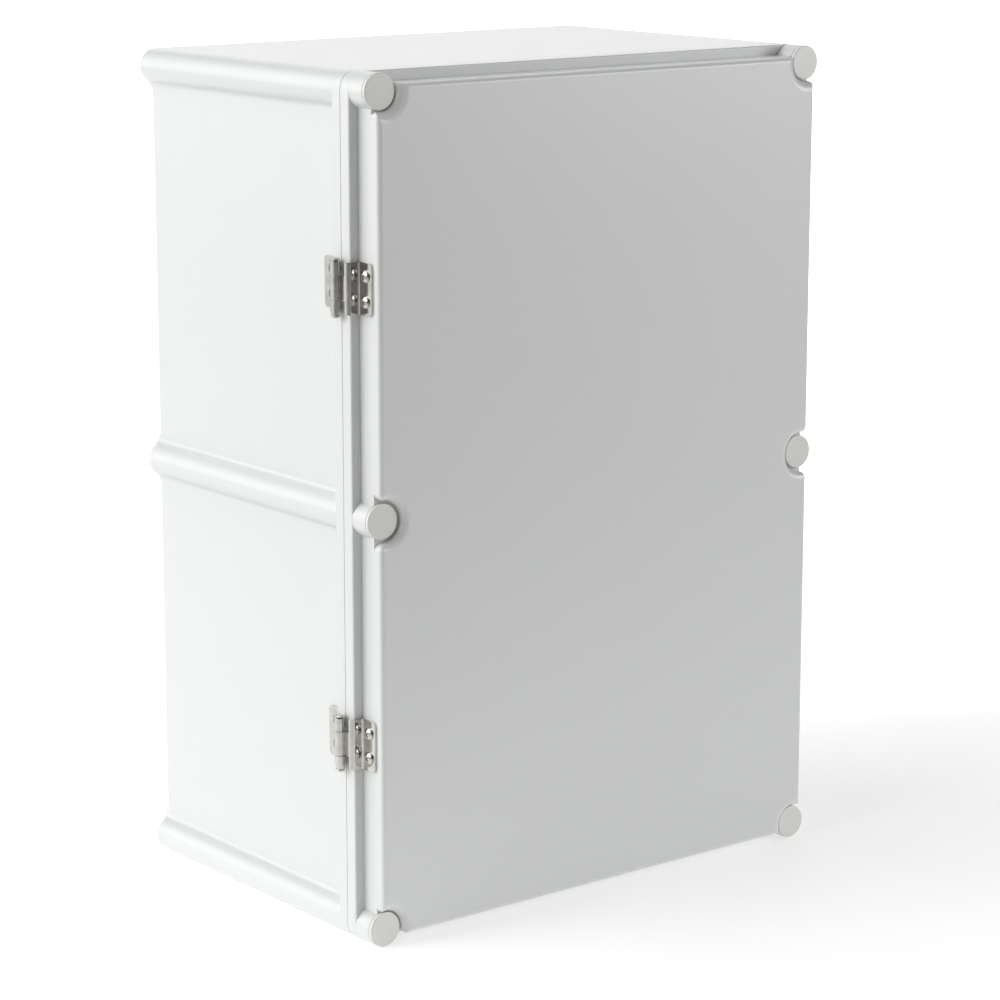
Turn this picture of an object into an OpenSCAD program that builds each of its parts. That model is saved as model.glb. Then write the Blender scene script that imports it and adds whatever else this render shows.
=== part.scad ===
// Hinged polycarbonate enclosure: a deep moulded base, a hinged cover with a
// raised panel, and six screw towers closed by round caps.
// Frame: origin at the centre of the wall-fixing holes on the rear face,
// +X to the right, +Z up, the cover faces -Y. Sizes in millimetres.

/* [Case] */
// Width over the flanges and ribs
case_w = 380; // [340:5:460]
// Height over the flanges and ribs
case_h = 560; // [500:5:700]
// Depth from the rear face to the parting plane
base_d = 231; // [120:1:300]
// Thickness of the side walls
wall_t = 4; // [3:0.5:6]
// Thickness of the top and bottom walls
end_wall_t = 5; // [4.8:0.2:7]
// Thickness of the rear wall
rear_t = 4; // [3:0.5:6]
// How far the tower ribs stand proud of the side walls
rib_stand = 9.5; // [8:0.5:10.5]
// Diameter of the screw towers and their ribs
tower_dia = 23.2; // [22:0.2:25]
// Radius of the hollow between a rib and its wall
rib_hollow_r = 4; // [2:0.5:5]
// Radius round the rear end of each rib and wall
rear_round_r = 3; // [1:0.5:4]
// Length of the base flange behind the parting plane
base_flange_t = 8.5; // [7:0.5:14]
// Open joint between the base flange and the cover flange
parting_gap = 0.4; // [0.2:0.1:1]

/* [Cover] */
// Thickness of the cover flange, parting plane to ledge
cover_flange_t = 9; // [8:0.5:14]
// Height of the raised panel above the ledge
panel_rise = 21; // [19:0.5:30]
// Width of the ledge round the raised panel
ledge_w = 7; // [5:0.5:8]
// Radius of the panel's front edge
panel_edge_r = 3; // [2:0.5:4]
// Radius of the ledge's outer edge
ledge_edge_r = 1.2; // [0.6:0.2:2]
// Thickness of the cover's side walls
cover_wall_t = 3.5; // [3:0.5:4.5]
// Thickness of the cover's front wall
cover_face_t = 4; // [3:0.5:5]
// Depth of the scallop round each cap, below the panel face
scallop_depth = 7.4; // [7.2:0.2:9]
// Air between a corner cap and its scallop wall
corner_scallop_gap = 0.8; // [0.6:0.1:1.6]
// Radius of the flared lip of a corner scallop
corner_lip_r = 7; // [4:0.5:7]
// Radius where a corner scallop meets the panel edge
corner_scallop_blend_r = 3; // [3:0.5:5]
// Air between a middle cap and its scallop wall
mid_scallop_gap = 2.2; // [1:0.2:3]
// Radius of the flared lip of a middle scallop
mid_lip_r = 5; // [3:0.5:6]
// Radius where a middle scallop meets the panel edge
mid_scallop_blend_r = 5; // [4.5:0.5:6]

/* [Seal] */
// Width of the gasket groove in the cover
groove_w = 3.6; // [3.2:0.2:4]
// Depth of the gasket groove
groove_depth = 4.8; // [4:0.2:6]
// Distance from the outside to the gasket groove
groove_inset = 2; // [1.6:0.2:2.2]
// Width of the tongue on the base
tongue_w = 1.4; // [1:0.2:1.8]
// Height of the tongue above the parting plane
tongue_rise = 2; // [1:0.2:2.2]
// Thickness of the foamed gasket
gasket_t = 2.6; // [1.6:0.2:2.6]
// Side clearance of the gasket in its groove
gasket_side_gap = 0.2; // [0.1:0.1:0.5]

/* [Cover screws and caps] */
// Shank diameter of a cover screw
screw_dia = 6; // [5:1:6]
// Head diameter of a cover screw
screw_head_dia = 10; // [8.5:0.5:10.5]
// Head height of a cover screw
screw_head_h = 4; // [3:0.5:5]
// Travel of a cover screw from released to tight
screw_travel = 8; // [6:0.5:8]
// Radial clearance round a screw shank in the cover
screw_hole_gap = 0.3; // [0.3:0.1:0.6]
// Diameter of the tower bore that takes the head and the cap
tower_bore_dia = 12; // [11.5:0.5:13]
// Thickness of a cap's disc
cap_t = 2.4; // [2:0.2:3]
// Edge radius of a cap
cap_edge_r = 0.9; // [0.4:0.1:1.2]
// Length of a cap's plug
cap_plug_l = 3.8; // [3:0.2:4]
// Wall of a cap's plug
cap_plug_wall = 1.4; // [1:0.2:2]
// Running clearance of a cap's plug in the tower bore
cap_fit = 0.05; // [0.02:0.01:0.1]
// Joint line between a cap and its tower
cap_gap = 0.4; // [0.2:0.1:0.5]
// Length of a tower insert
insert_l = 12; // [8:1:16]
// Outside diameter of a tower insert
insert_dia = 9; // [8:0.5:10]
// Running clearance of a cover screw in its insert
insert_fit = 0.05; // [0.02:0.01:0.1]

/* [Mounting] */
// Wall-fixing holes, centre to centre across
fixing_pitch_x = 300; // [240:5:300]
// Wall-fixing holes, centre to centre up
fixing_pitch_z = 490; // [420:5:490]
// Diameter of a wall-fixing hole
fixing_hole_dia = 8; // [6:0.5:9]
// Diameter of the pad round a wall-fixing hole
fixing_pad_dia = 20; // [18:1:24]
// Height of the pad round a wall-fixing hole
fixing_pad_h = 3; // [2:0.5:5]
// Plate bosses, centre to centre across
boss_pitch_x = 280; // [200:5:300]
// Plate bosses, centre to centre up
boss_pitch_z = 420; // [300:5:440]
// Diameter of a plate boss
boss_dia = 15; // [13:1:18]
// Height of a plate boss above the rear wall
boss_h = 18; // [12:1:30]
// Thread diameter of a plate insert
plate_thread_dia = 5; // [4:1:6]
// Outside diameter of a plate insert
plate_insert_dia = 8; // [7.5:0.5:9]
// Length of a plate insert
plate_insert_l = 10; // [8:1:12]

/* [Hinges] */
// Height of a hinge
hinge_h = 33; // [28:1:45]
// Distance of each hinge from mid-height
hinge_offset = 146.5; // [60:0.5:170]
// Thickness of the leaf sheet
leaf_t = 1.5; // [1.2:0.1:1.6]
// Inner radius of the leaf bends
bend_r = 1.5; // [1:0.1:1.5]
// Air between the flange side and a leaf's arm
arm_gap = 1.8; // [1.8:0.1:2.5]
// Diameter of a hinge pin
pin_dia = 3; // [2.5:0.1:3]
// Running clearance of a pin in its knuckle
pin_fit = 0.05; // [0.02:0.01:0.1]
// Length of each end knuckle
end_knuckle_l = 8.3; // [7:0.1:9]
// Gap between two knuckles
knuckle_gap = 0.35; // [0.2:0.05:0.5]
// Diameter of a pin head
pin_head_dia = 5.9; // [5:0.1:6]
// Diameter of the neck under a pin head
pin_neck_dia = 4.2; // [3.6:0.1:4.6]
// Height over which a pin head flares out from its neck
pin_head_flare = 1; // [0.6:0.1:1.4]
// Straight part of a pin head
pin_head_rim = 0.7; // [0.4:0.1:1.2]
// Crown of a pin head
pin_head_crown = 1; // [0.8:0.1:1.4]
// Length of the leaf plate on the base wall
base_plate_l = 21; // [18:0.5:26]
// Length of the leaf plate on the panel's side wall
cover_plate_l = 14.5; // [13.5:0.5:15]
// Corner radius of the leaf plates
plate_corner_r = 3; // [1:0.5:4]
// Spacing of the two screws in a leaf
leaf_screw_pitch = 16; // [14:0.5:18]
// Distance of the cover leaf's screws from its free edge
cover_leaf_screw_edge = 6; // [5.5:0.5:6]
// Distance of the base leaf's screws from its free edge
base_leaf_screw_edge = 9; // [6:0.5:10]
// Diameter of the leaf screws over their M4 thread
leaf_screw_dia = 3.85; // [2.85:0.05:4]
// Clearance round a leaf screw in the leaf and the wall
leaf_screw_gap = 0.05; // [0.05:0.05:0.4]
// Head diameter of the leaf screws
leaf_head_dia = 8; // [6:0.5:8]
// Height of the leaf screws' head at its edge
leaf_head_rim = 0.9; // [0.5:0.1:1.2]
// Crown of the leaf screws' head
leaf_head_crown = 1.5; // [1:0.1:2]
// Width across flats of the leaf nuts
leaf_nut_af = 7; // [5.5:0.5:7]
// Thickness of the leaf nuts
leaf_nut_t = 3.2; // [2.4:0.1:3.2]
// Length of screw past its nut
leaf_screw_tail = 1; // [0.5:0.5:2]

/* [Hidden] */
$fn = 72;

// Colours
case_grey = "#d3d6d4";
steel_grey = "#b9babc";
brass_gold = "#b99a55";
foam_black = "#2b2c2e";

// Overshoot that lets one solid cut cleanly through another
over = 1;
// How far a rounding crosses the face it blends into, so that the two never just touch
sink = 0.04;

// Depths, measured forward from the rear face
base_front_d = base_d - parting_gap / 2;
base_flange_back_d = base_d - base_flange_t;
cover_back_d = base_d + parting_gap / 2;
ledge_d = base_d + cover_flange_t;
panel_d = ledge_d + panel_rise;
scallop_d = panel_d - scallop_depth;
cap_back_d = scallop_d + cap_gap;
cap_face_d = cap_back_d + cap_t;
groove_floor_d = cover_back_d + groove_depth;

// Towers and walls, half sizes from the centre
tower_r = tower_dia / 2;
tower_x = case_w / 2 - tower_r;
tower_z = case_h / 2 - tower_r;
wall_x = case_w / 2 - rib_stand;
panel_x = case_w / 2 - ledge_w;
panel_z = case_h / 2 - ledge_w;
corner_scallop_r = tower_r + corner_scallop_gap;
mid_scallop_r = tower_r + mid_scallop_gap;
// How far a wall plane lies outside the tower centres
wall_out = tower_r - rib_stand;
// How far the panel's side lies outside the tower centres
panel_out = tower_r - ledge_w;

// Tower centres: left column, then right column, each from top to bottom
TOWERS = [for (side = [-1, 1], level = [1, 0, -1]) [side * tower_x, level * tower_z]];
TOP_LEFT = 0;
MID_LEFT = 1;
BOTTOM_LEFT = 2;
TOP_RIGHT = 3;
MID_RIGHT = 4;
BOTTOM_RIGHT = 5;
CORNERS = [TOP_LEFT, BOTTOM_LEFT, TOP_RIGHT, BOTTOM_RIGHT];
MIDDLES = [MID_LEFT, MID_RIGHT];

// The seal runs round the inside of every tower; this is its radius at the outside edge
seal_tower_r = 4;
tongue_inset = groove_inset + (groove_w - tongue_w) / 2;
gasket_inset = groove_inset + gasket_side_gap;
gasket_w = groove_w - 2 * gasket_side_gap;

// Cover screws, released, with their heads just under the cap plugs
screw_r = screw_dia / 2;
screw_tip_d = cover_back_d + cap_gap;
plug_end_d = cap_back_d - cap_plug_l;
head_top_d = plug_end_d - 0.5;
head_seat_d = head_top_d - screw_head_h - screw_travel;
insert_bore_r = screw_r + insert_fit;

// Hinge axis and leaf sections, in the plan of the case
knuckle_r = leaf_t + pin_dia / 2;
knuckle_bore_r = pin_dia / 2 + pin_fit;
arm_x = -case_w / 2 - arm_gap;
pin_x = arm_x - knuckle_r;
pin_y = -base_d;
leaf_bend_r = bend_r + leaf_t;
middle_knuckle_l = hinge_h - 2 * end_knuckle_l - 2 * knuckle_gap;
cover_screw_y = -ledge_d - cover_plate_l + cover_leaf_screw_edge;
base_screw_y = -base_flange_back_d + base_plate_l - base_leaf_screw_edge;
leaf_hole_r = leaf_screw_dia / 2 + leaf_screw_gap;
HINGE_LEVELS = [hinge_offset, -hinge_offset];

// ---- helpers ----

// Puts a flat outline drawn in X and Z between two depths in front of the rear face
module slab(from, to) {
    translate([0, -from, 0])
        rotate([90, 0, 0])
            linear_extrude(to - from)
                children();
}

// Puts a solid built along +Z on an axis that points forward, at a tower
module at_tower(index) {
    translate([TOWERS[index][0], 0, TOWERS[index][1]])
        rotate([90, 0, 0])
            children();
}

module ring_of_towers() {
    for (place = TOWERS) {
        translate(place)
            children();
    }
}

// Rounded rectangle whose corners are the tower circles
module case_outline() {
    square([case_w - tower_dia, case_h], center = true);
    square([case_w, case_h - tower_dia], center = true);
    for (side = [-1, 1], level = [-1, 1]) {
        translate([side * tower_x, level * tower_z])
            circle(tower_r);
    }
}

// The corner between an edge and a face, ready to be cut to a radius:
// the edge is at x = 0 with material on the left, the face is at y = 0 with material below
module edge_waste(radius) {
    difference() {
        translate([-radius, -radius])
            square([radius + over, radius + over]);
        translate([-radius, -radius])
            circle(radius);
    }
}

// ---- base ----

// Filler between a wall and a rib, hollowed to a radius, at a tower centred on 0:
// the wall plane is at x = wall_out and the filler lies above the tower
module rib_filler() {
    reach = tower_r + rib_hollow_r - sink;
    centre_x = wall_out + rib_hollow_r - sink;
    centre_y = sqrt(reach * reach - centre_x * centre_x);
    difference() {
        polygon([[0, 0], [centre_x, centre_y], [wall_out - over, centre_y], [-over, 0]]);
        translate([centre_x, centre_y])
            circle(rib_hollow_r);
    }
}

// Side walls set back between their ribs, top and bottom walls flush with the towers
module wall_outline() {
    square([2 * tower_x, case_h], center = true);
    square([2 * wall_x, 2 * tower_z], center = true);
    ring_of_towers()
        circle(tower_r);
    for (side = [0, 1], half = [0, 1]) {
        mirror([side, 0])
            mirror([0, half]) {
                translate([tower_x, 0])
                    rib_filler();
                translate([tower_x, tower_z])
                    mirror([0, 1])
                        rib_filler();
            }
    }
}

module cavity_outline() {
    difference() {
        square([2 * (wall_x - wall_t), case_h - 2 * end_wall_t], center = true);
        ring_of_towers()
            circle(tower_r);
    }
}

// Everything inside the seal line: a rectangle with a bite round each tower
module seal_outline(inset) {
    difference() {
        square([case_w - 2 * inset, case_h - 2 * inset], center = true);
        ring_of_towers()
            circle(seal_tower_r + inset);
        for (side = [0, 1], half = [0, 1]) {
            mirror([side, 0])
                mirror([0, half])
                    translate([tower_x, tower_z])
                        square(tower_r + over);
        }
    }
}

module seal_band(inset, width) {
    difference() {
        seal_outline(inset);
        seal_outline(inset + width);
    }
}

// Rounds the rear end of one rib over the part that stands proud of the walls,
// turning clockwise from the first angle
module rib_end_waste(first, sweep) {
    rotate([0, 0, first])
        mirror([0, 1, 0])
            rotate_extrude(angle = sweep)
                translate([tower_r, 0])
                    mirror([0, 1])
                        edge_waste(rear_round_r);
}

module rear_round_waste() {
    // Angle at which the hollow takes over from the rib
    free_angle = acos((wall_out + rib_hollow_r) / (tower_r + rib_hollow_r));
    half_run = (tower_z - 2 * (tower_r + rib_hollow_r)) / 2;
    for (side = [0, 1]) {
        mirror([side, 0, 0]) {
            rotate([90, 0, 0])
                translate([tower_x, 0, 0])
                    rib_end_waste(free_angle, 2 * free_angle);
            for (level = [0, 1]) {
                mirror([0, 0, level]) {
                    rotate([90, 0, 0])
                        translate([tower_x, tower_z, 0])
                            rib_end_waste(90, 90 + free_angle);
                    translate([wall_x, 0, tower_z / 2 - half_run])
                        linear_extrude(2 * half_run)
                            edge_waste(rear_round_r);
                }
            }
        }
    }
    for (level = [0, 1]) {
        mirror([0, 0, level])
            translate([-tower_x, 0, case_h / 2])
                rotate([90, 0, 90])
                    linear_extrude(2 * tower_x)
                        edge_waste(rear_round_r);
    }
}

module tower_bores() {
    for (index = [0 : 5]) {
        at_tower(index) {
            translate([0, 0, base_front_d - insert_l])
                cylinder(h = insert_l + over, r = insert_dia / 2);
            translate([0, 0, base_front_d - 2 * insert_l])
                cylinder(h = 2 * insert_l, r = insert_bore_r);
        }
    }
}

module at_pattern(pitch_x, pitch_z) {
    for (side = [-1, 1], level = [-1, 1]) {
        translate([side * pitch_x / 2, 0, level * pitch_z / 2])
            rotate([90, 0, 0])
                children();
    }
}

// Clearance holes of the leaf screws through a left-hand wall
module leaf_screw_holes(wall_face_x, thickness, screw_y) {
    for (level = HINGE_LEVELS, side = [-1, 1]) {
        translate([wall_face_x - over, screw_y, level + side * leaf_screw_pitch / 2])
            rotate([0, 90, 0])
                cylinder(h = thickness + 2 * over, r = leaf_hole_r);
    }
}

module base_shell() {
    color(case_grey)
        difference() {
            union() {
                difference() {
                    union() {
                        slab(0, base_flange_back_d)
                            wall_outline();
                        slab(base_flange_back_d, base_front_d)
                            case_outline();
                    }
                    slab(rear_t, base_front_d + over)
                        cavity_outline();
                }
                slab(base_front_d, base_d + tongue_rise)
                    seal_band(tongue_inset, tongue_w);
                at_pattern(fixing_pitch_x, fixing_pitch_z)
                    cylinder(h = rear_t + fixing_pad_h, r = fixing_pad_dia / 2);
                at_pattern(boss_pitch_x, boss_pitch_z)
                    cylinder(h = rear_t + boss_h, r = boss_dia / 2);
            }
            at_pattern(fixing_pitch_x, fixing_pitch_z)
                translate([0, 0, -over])
                    cylinder(h = rear_t + fixing_pad_h + 2 * over, r = fixing_hole_dia / 2);
            at_pattern(boss_pitch_x, boss_pitch_z)
                translate([0, 0, rear_t + boss_h - plate_insert_l])
                    cylinder(h = plate_insert_l + over, r = plate_insert_dia / 2);
            tower_bores();
            leaf_screw_holes(-wall_x, wall_t, base_screw_y);
            rear_round_waste();
        }
}

module tower_inserts() {
    color(brass_gold)
        for (index = [0 : 5]) {
            at_tower(index)
                translate([0, 0, base_front_d - insert_l])
                    difference() {
                        cylinder(h = insert_l, r = insert_dia / 2);
                        translate([0, 0, -over])
                            cylinder(h = insert_l + 2 * over, r = insert_bore_r);
                    }
        }
}

module plate_inserts() {
    color(brass_gold)
        at_pattern(boss_pitch_x, boss_pitch_z)
            translate([0, 0, rear_t + boss_h - plate_insert_l])
                difference() {
                    cylinder(h = plate_insert_l, r = plate_insert_dia / 2);
                    translate([0, 0, over])
                        cylinder(h = plate_insert_l, r = plate_thread_dia / 2);
                }
}

// ---- cover ----

module panel_outline() {
    square([2 * panel_x, 2 * panel_z], center = true);
}

module cover_cavity_outline() {
    inset = ledge_w + cover_wall_t;
    difference() {
        square([case_w - 2 * inset, case_h - 2 * inset], center = true);
        for (index = CORNERS) {
            translate(TOWERS[index])
                circle(corner_scallop_r + cover_wall_t);
        }
        for (index = MIDDLES) {
            translate(TOWERS[index])
                circle(mid_scallop_r + cover_wall_t);
        }
    }
}

// Scallop round one cap with its flared lip, along +Z at a tower
module scallop_waste(radius, lip_r) {
    rotate_extrude() {
        translate([0, scallop_d])
            square([radius, scallop_depth + over]);
        translate([radius, panel_d])
            mirror([1, 0])
                edge_waste(lip_r);
    }
}

// Rounds the panel corner beside a scallop, for a tower at 0 whose panel side
// is at x = panel_out and whose corner lies below the tower
module scallop_blend_waste(radius, blend_r) {
    reach = radius + blend_r - sink;
    centre_x = panel_out - blend_r + sink;
    centre_y = sqrt(reach * reach - centre_x * centre_x);
    translate([centre_x, -centre_y, 0])
        rotate_extrude(angle = atan2(centre_y, -centre_x)) {
            translate([blend_r, scallop_d])
                square([radius / 2, scallop_depth + over]);
            translate([blend_r, panel_d])
                edge_waste(panel_edge_r);
        }
}

module raised_panel_top() {
    difference() {
        slab(scallop_d, panel_d)
            panel_outline();
        for (side = [0, 1]) {
            mirror([side, 0, 0])
                translate([panel_x, -panel_d, -panel_z - over])
                    linear_extrude(2 * (panel_z + over))
                        mirror([0, 1])
                            edge_waste(panel_edge_r);
            mirror([0, 0, side])
                translate([-panel_x - over, -panel_d, panel_z])
                    rotate([90, 0, 90])
                        linear_extrude(2 * (panel_x + over))
                            rotate(90)
                                edge_waste(panel_edge_r);
        }
        for (index = CORNERS) {
            at_tower(index)
                scallop_waste(corner_scallop_r, corner_lip_r);
        }
        for (index = MIDDLES) {
            at_tower(index)
                scallop_waste(mid_scallop_r, mid_lip_r);
        }
        for (side = [0, 1], half = [0, 1]) {
            mirror([side, 0, 0])
                mirror([0, 0, half])
                    rotate([90, 0, 0]) {
                        translate([tower_x, 0, 0])
                            scallop_blend_waste(mid_scallop_r, mid_scallop_blend_r);
                        translate([tower_x, tower_z, 0])
                            scallop_blend_waste(corner_scallop_r, corner_scallop_blend_r);
                        translate([tower_x, tower_z, 0])
                            mirror([1, -1, 0])
                                scallop_blend_waste(corner_scallop_r, corner_scallop_blend_r);
                    }
        }
    }
}

// Rounds the ledge's outer edge between the towers, which stay whole
module ledge_edge_waste() {
    difference() {
        for (side = [0, 1]) {
            mirror([side, 0, 0])
                translate([case_w / 2, -ledge_d, -tower_z])
                    linear_extrude(2 * tower_z)
                        mirror([0, 1])
                            edge_waste(ledge_edge_r);
            mirror([0, 0, side])
                translate([-tower_x, -ledge_d, case_h / 2])
                    rotate([90, 0, 90])
                        linear_extrude(2 * tower_x)
                            rotate(90)
                                edge_waste(ledge_edge_r);
        }
        for (index = [0 : 5]) {
            at_tower(index)
                cylinder(h = panel_d, r = tower_r + sink);
        }
    }
}

module cover_shell() {
    color(case_grey)
        difference() {
            union() {
                slab(cover_back_d, ledge_d)
                    case_outline();
                slab(ledge_d, scallop_d) {
                    panel_outline();
                    ring_of_towers()
                        circle(tower_r - sink);
                }
                raised_panel_top();
            }
            slab(cover_back_d - over, panel_d - cover_face_t)
                cover_cavity_outline();
            slab(cover_back_d - over, groove_floor_d)
                seal_band(groove_inset, groove_w);
            for (index = [0 : 5]) {
                at_tower(index) {
                    translate([0, 0, cover_back_d - over])
                        cylinder(h = panel_d, r = screw_r + screw_hole_gap);
                    translate([0, 0, head_seat_d])
                        cylinder(h = panel_d, r = tower_bore_dia / 2);
                }
            }
            leaf_screw_holes(-panel_x, cover_wall_t, cover_screw_y);
            ledge_edge_waste();
        }
}

module cover_gasket() {
    color(foam_black)
        slab(groove_floor_d - gasket_t, groove_floor_d)
            seal_band(gasket_inset, gasket_w);
}

// Captive screw along +Z, tip first, at its released depth
module cover_screw() {
    socket_af = screw_dia * 0.8;
    tip = 1;
    color(steel_grey)
        difference() {
            union() {
                translate([0, 0, screw_tip_d])
                    cylinder(h = tip, r1 = screw_r - tip / 2, r2 = screw_r);
                translate([0, 0, screw_tip_d + tip])
                    cylinder(h = head_top_d - screw_tip_d - tip, r = screw_r);
                translate([0, 0, head_top_d - screw_head_h])
                    cylinder(h = screw_head_h, r = screw_head_dia / 2);
            }
            translate([0, 0, head_top_d - screw_head_h * 0.6])
                cylinder(h = screw_head_h, r = socket_af / 2 / cos(30), $fn = 6);
        }
}

// Round cap with a hollow plug, along +Z
module screw_cap() {
    disc_r = tower_r - sink;
    plug_r = tower_bore_dia / 2 - cap_fit;
    color(case_grey)
        rotate_extrude() {
            difference() {
                translate([0, cap_back_d])
                    square([disc_r, cap_t]);
                translate([disc_r, cap_face_d])
                    edge_waste(cap_edge_r);
            }
            translate([plug_r - cap_plug_wall, plug_end_d])
                square([cap_plug_wall, cap_plug_l + over]);
        }
}

// ---- hinges ----

// Quarter of a sheet bend in plan, centred on 0: the sheet enters along x and leaves along y
module sheet_bend(turn) {
    rotate(turn)
        difference() {
            intersection() {
                circle(leaf_bend_r);
                square(leaf_bend_r);
            }
            circle(bend_r);
        }
}

// Plan of a leaf: plate on a wall, sheet over a flange face, arm to the knuckle.
// The wall is at wall_face_x, the flange face at y = 0 with the flange below it,
// and the knuckle centre lies flange_drop below that face.
module leaf_plan(wall_face_x, plate_l, flange_drop) {
    outer_bend_x = arm_x + bend_r;
    inner_bend_x = wall_face_x - leaf_bend_r;
    translate([wall_face_x - leaf_t, leaf_bend_r])
        square([leaf_t, plate_l - leaf_bend_r]);
    translate([inner_bend_x, leaf_bend_r])
        sheet_bend(-90);
    translate([outer_bend_x, 0])
        square([inner_bend_x - outer_bend_x, leaf_t]);
    translate([outer_bend_x, -bend_r])
        sheet_bend(90);
    translate([arm_x - leaf_t, -flange_drop])
        square([leaf_t, flange_drop - bend_r]);
    translate([pin_x, -flange_drop])
        circle(knuckle_r);
}

// Rounds the two free corners of a leaf plate whose free edge is at y = plate_l
module plate_corner_waste(wall_face_x, plate_l) {
    for (half = [0, 1]) {
        mirror([0, 0, half])
            translate([wall_face_x - leaf_t - over, plate_l, hinge_h / 2])
                rotate([90, 0, 90])
                    linear_extrude(leaf_t + 2 * over)
                        translate([sink, sink])
                            edge_waste(plate_corner_r);
    }
}

// Takes the arm and knuckle away between two levels
module knuckle_notch(from, to, flange_drop) {
    translate([pin_x - knuckle_r - over, -flange_drop - knuckle_r - over, from])
        cube([2 * knuckle_r + leaf_t + 2 * over, flange_drop + knuckle_r + over - bend_r, to - from]);
}

module leaf_holes(wall_face_x, screw_y) {
    for (side = [-1, 1]) {
        translate([wall_face_x - leaf_t - over, screw_y, side * leaf_screw_pitch / 2])
            rotate([0, 90, 0])
                cylinder(h = leaf_t + 2 * over, r = leaf_hole_r);
    }
}

module leaf_blank(wall_face_x, plate_l, screw_edge, flange_drop) {
    difference() {
        translate([0, 0, -hinge_h / 2])
            linear_extrude(hinge_h)
                leaf_plan(wall_face_x, plate_l, flange_drop);
        translate([pin_x, -flange_drop, -hinge_h / 2 - over])
            cylinder(h = hinge_h + 2 * over, r = knuckle_bore_r);
        plate_corner_waste(wall_face_x, plate_l);
        leaf_holes(wall_face_x, plate_l - screw_edge);
    }
}

// Leaf on the base wall, with the two end knuckles
module hinge_base_leaf(level) {
    half_notch = middle_knuckle_l / 2 + knuckle_gap;
    color(steel_grey)
        translate([0, -base_flange_back_d, level])
            difference() {
                leaf_blank(-wall_x, base_plate_l, base_leaf_screw_edge, base_flange_t);
                knuckle_notch(-half_notch, half_notch, base_flange_t);
            }
}

// Leaf on the cover, with the middle knuckle
module hinge_cover_leaf(level) {
    half_knuckle = middle_knuckle_l / 2;
    color(steel_grey)
        translate([0, -ledge_d, level])
            mirror([0, 1, 0])
                difference() {
                    leaf_blank(-panel_x, cover_plate_l, cover_leaf_screw_edge, cover_flange_t);
                    knuckle_notch(half_knuckle, hinge_h / 2 + over, cover_flange_t);
                    knuckle_notch(-hinge_h / 2 - over, -half_knuckle, cover_flange_t);
                }
}

// Round head with a crown, standing on z = 0
module crowned_head(dia, rim, crown) {
    crown_r = (dia * dia / 4 + crown * crown) / (2 * crown);
    rotate_extrude() {
        square([dia / 2, rim]);
        intersection() {
            translate([0, rim + crown - crown_r])
                circle(crown_r);
            translate([0, rim])
                square([dia / 2, crown]);
        }
    }
}

module hinge_pin(level) {
    dimple_r = pin_dia / 2;
    dimple_z = pin_head_flare + pin_head_rim + pin_head_crown + dimple_r / 2;
    color(steel_grey)
        translate([pin_x, pin_y, level]) {
            translate([0, 0, -hinge_h / 2])
                cylinder(h = hinge_h, r = pin_dia / 2);
            for (end = [0, 1]) {
                mirror([0, 0, end])
                    translate([0, 0, hinge_h / 2])
                        difference() {
                            union() {
                                cylinder(h = pin_head_flare, r1 = pin_neck_dia / 2, r2 = pin_head_dia / 2);
                                translate([0, 0, pin_head_flare])
                                    crowned_head(pin_head_dia, pin_head_rim, pin_head_crown);
                            }
                            translate([0, 0, dimple_z])
                                sphere(dimple_r);
                        }
            }
        }
}

// Leaf screw on a left-hand face, its head outside
module leaf_screw(face_x, grip) {
    slot_w = leaf_head_dia / 8;
    slot_l = leaf_head_dia * 0.55;
    slot_depth = leaf_head_crown;
    head_h = leaf_head_rim + leaf_head_crown;
    translate([face_x, 0, 0])
        rotate([0, -90, 0])
            difference() {
                union() {
                    crowned_head(leaf_head_dia, leaf_head_rim, leaf_head_crown);
                    translate([0, 0, -grip - leaf_nut_t - leaf_screw_tail])
                        cylinder(h = grip + leaf_nut_t + leaf_screw_tail, r = leaf_screw_dia / 2);
                }
                for (turn = [45, 135]) {
                    rotate([0, 0, turn])
                        translate([-slot_l / 2, -slot_w / 2, head_h - slot_depth])
                            cube([slot_l, slot_w, slot_depth + over]);
                }
            }
}

module leaf_screw_set(wall_face_x, thickness, screw_y) {
    color(steel_grey)
        for (level = HINGE_LEVELS, side = [-1, 1]) {
            translate([0, screw_y, level + side * leaf_screw_pitch / 2])
                leaf_screw(wall_face_x - leaf_t, leaf_t + thickness);
        }
}

module leaf_nut_set(wall_face_x, thickness, screw_y) {
    color(steel_grey)
        for (level = HINGE_LEVELS, side = [-1, 1]) {
            translate([wall_face_x + thickness, screw_y, level + side * leaf_screw_pitch / 2])
                rotate([0, 90, 0])
                    difference() {
                        cylinder(h = leaf_nut_t, r = leaf_nut_af / 2 / cos(30), $fn = 6);
                        translate([0, 0, -over])
                            cylinder(h = leaf_nut_t + 2 * over, r = leaf_screw_dia / 2);
                    }
        }
}

module hinge_base_screws() {
    leaf_screw_set(-wall_x, wall_t, base_screw_y);
}

module hinge_base_nuts() {
    leaf_nut_set(-wall_x, wall_t, base_screw_y);
}

module hinge_cover_screws() {
    leaf_screw_set(-panel_x, cover_wall_t, cover_screw_y);
}

module hinge_cover_nuts() {
    leaf_nut_set(-panel_x, cover_wall_t, cover_screw_y);
}

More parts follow.
